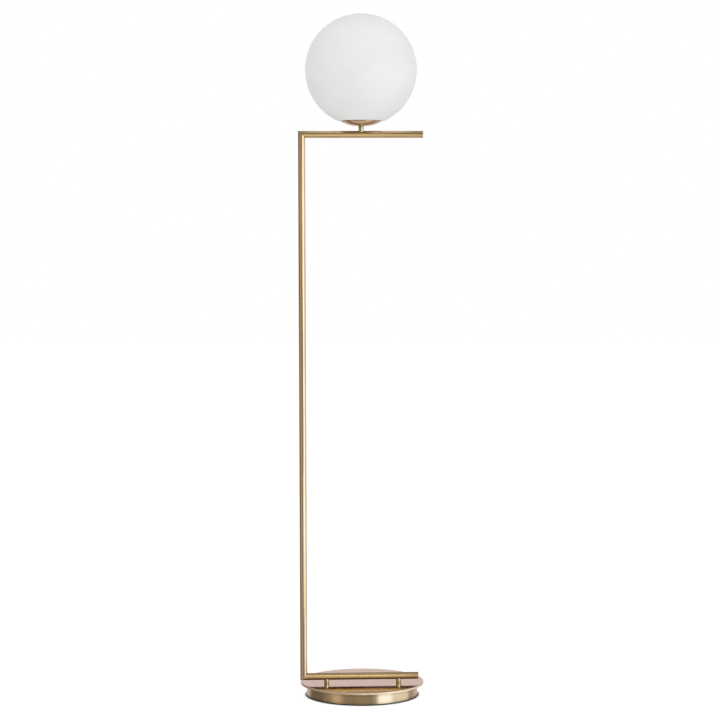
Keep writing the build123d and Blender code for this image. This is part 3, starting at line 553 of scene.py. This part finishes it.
def opal_glass():
    """Satin opal glass: cloudy white with swirls from blowing, an etched grain and a soft sheen."""
    material, tree, shader = new_material("opal_glass")
    swirl = noise(tree, place_vector(tree, (1, 1, 2.4)), scale=7.0, detail=3.0, roughness=0.5)
    mottle = noise(tree, place_vector(tree), scale=60.0, detail=3.0, roughness=0.6)
    grain = noise(tree, place_vector(tree), scale=2400.0, detail=2.0, roughness=0.6)
    tone = mixed(tree, ranged(tree, swirl, low=0, high=1), OPAL_WARM, OPAL_COOL)
    tone = mixed(tree, ranged(tree, mottle, low=0, high=0.25), tone, OPAL_MOTTLE)
    swirl_gloss = ranged(tree, swirl, low=0.40, high=0.47)
    grain_gloss = ranged(tree, grain, low=-0.03, high=0.03)
    gloss = maths(tree, "ADD", swirl_gloss, grain_gloss)
    relief = bump(tree, grain, OPAL_GRAIN_RELIEF, below=bump(tree, swirl, OPAL_SWIRL_RELIEF))
    link_surface(tree, shader, tone, gloss, relief)
    set_shader(shader, IOR=1.5)
    shader.inputs["Subsurface Weight"].default_value = 0.6
    shader.inputs["Subsurface Radius"].default_value = (1.0, 0.98, 0.96)
    shader.inputs["Subsurface Scale"].default_value = 0.0035
    return material


def cast_iron():
    """The weight: a coarse cast skin under black primer, worn grey on its high spots."""
    material, tree, shader = new_material("cast_iron")
    coarse = noise(tree, place_vector(tree), scale=220.0, detail=5.0, roughness=0.65)
    clouds = noise(tree, place_vector(tree), scale=18.0, detail=3.0, roughness=0.5)
    worn = ranged(tree, coarse, low=0, high=1, start=0.55, end=0.75)
    tone = mixed(tree, worn, IRON_PRIMER, IRON_WORN)
    tone = mixed(tree, ranged(tree, clouds, low=0, high=0.4), tone, IRON_RUSTY)
    gloss = ranged(tree, coarse, low=0.48, high=0.72)
    link_surface(tree, shader, tone, gloss, bump(tree, coarse, IRON_RELIEF))
    set_shader(shader, Metallic=0.35)
    return material


def grained(name, first, second, roughness, grain_scale, relief, stretch=None):
    """Two close tones in clouds and a fine grain, whose relief may be drawn out along an axis."""
    material, tree, shader = new_material(name)
    clouds = noise(tree, place_vector(tree), scale=40.0, detail=3.0, roughness=0.55)
    grain = noise(tree, place_vector(tree), scale=grain_scale, detail=3.0, roughness=0.6)
    tone = mixed(tree, ranged(tree, clouds, low=0, high=1), first, second)
    grain_gloss = ranged(tree, grain, low=-0.05, high=0.05)
    cloud_gloss = ranged(tree, clouds, low=roughness - 0.04, high=roughness + 0.04)
    gloss = maths(tree, "ADD", grain_gloss, cloud_gloss)
    height = grain
    if stretch is not None:
        drawn_out = place_vector(tree, stretch)
        height = noise(tree, drawn_out, scale=grain_scale, detail=2.0, roughness=0.5)
    link_surface(tree, shader, tone, gloss, bump(tree, height, relief))
    return material, shader


def dielectric(name, **surface):
    """A plastic, rubber, enamel or ceramic surface."""
    return grained(name, **surface)[0]


def metal(name, stretch=(1, 1, 1), **surface):
    """A plain metal."""
    material, shader = grained(name, stretch=stretch, **surface)
    set_shader(shader, Metallic=1.0)
    return material


def clear_plastic(name, tint, roughness):
    """A clear, slightly cloudy silicone or lead sheath."""
    cloud = (tint[0] * 0.94, tint[1] * 0.95, tint[2] * 0.96, 1)
    material, shader = grained(name, tint, cloud, roughness, grain_scale=700.0, relief=0.00001)
    shader.inputs["Transmission Weight"].default_value = 0.35
    set_shader(shader, IOR=1.42)
    return material


def frosted_glass():
    """The bulb's frosted ball: white, soft and a little translucent."""
    material, shader = grained(
        "frosted_glass",
        first=(0.88, 0.88, 0.87, 1),
        second=(0.92, 0.92, 0.91, 1),
        roughness=0.38,
        grain_scale=1800.0,
        relief=0.00001,
    )
    shader.inputs["Subsurface Weight"].default_value = 0.2
    shader.inputs["Subsurface Radius"].default_value = (1.0, 0.95, 0.9)
    shader.inputs["Subsurface Scale"].default_value = 0.002
    return material


def slot_materials():
    """A material for each slot of the record, apart from the satin brass of brushed_pieces."""
    materials = {
        "opal_glass": opal_glass(),
        "polished_brass": polished_brass(),
        "clear_silicone": clear_plastic("clear_silicone", (0.80, 0.80, 0.78, 1), 0.35),
        "clear_lead": clear_plastic("clear_lead", (0.74, 0.74, 0.72, 1), 0.3),
        "cast_iron": cast_iron(),
        "frosted_glass": frosted_glass(),
    }
    for name, surface in METALS.items():
        materials[name] = metal(name, **surface)
    for name, surface in DIELECTRICS.items():
        materials[name] = dielectric(name, **surface)
    return materials


def brushed_pieces():
    """The satin brass pieces, by the way in which they are brushed."""
    arm, post = brass_along_x(), brass_along_z()
    return {
        "top_arm": arm,
        "bottom_arm": arm,
        "end_caps": arm,
        "post": post,
        "stem": post,
        "pegs": post,
        "base_drum": brass_rings("satin_brass_drum", BASE_AXIS_Y, roughness=0.17, anisotropy=0.5),
        "globe_dish": brass_rings("satin_brass_dish", 0.0, roughness=0.20, anisotropy=0.3),
    }


def dress():
    """Give every node its material."""
    by_slot = slot_materials()
    brushed = brushed_pieces()
    for part in frame["record"]["subparts"]:
        name = part["node"]
        material = brushed.get(name) or by_slot[part["material_slot"]]
        for slot in nodes[name].material_slots:
            slot.material = material


make_camera()
make_world()
make_floor()
make_lights()
dress()
bpy.context.scene.view_settings.view_transform = "Standard"
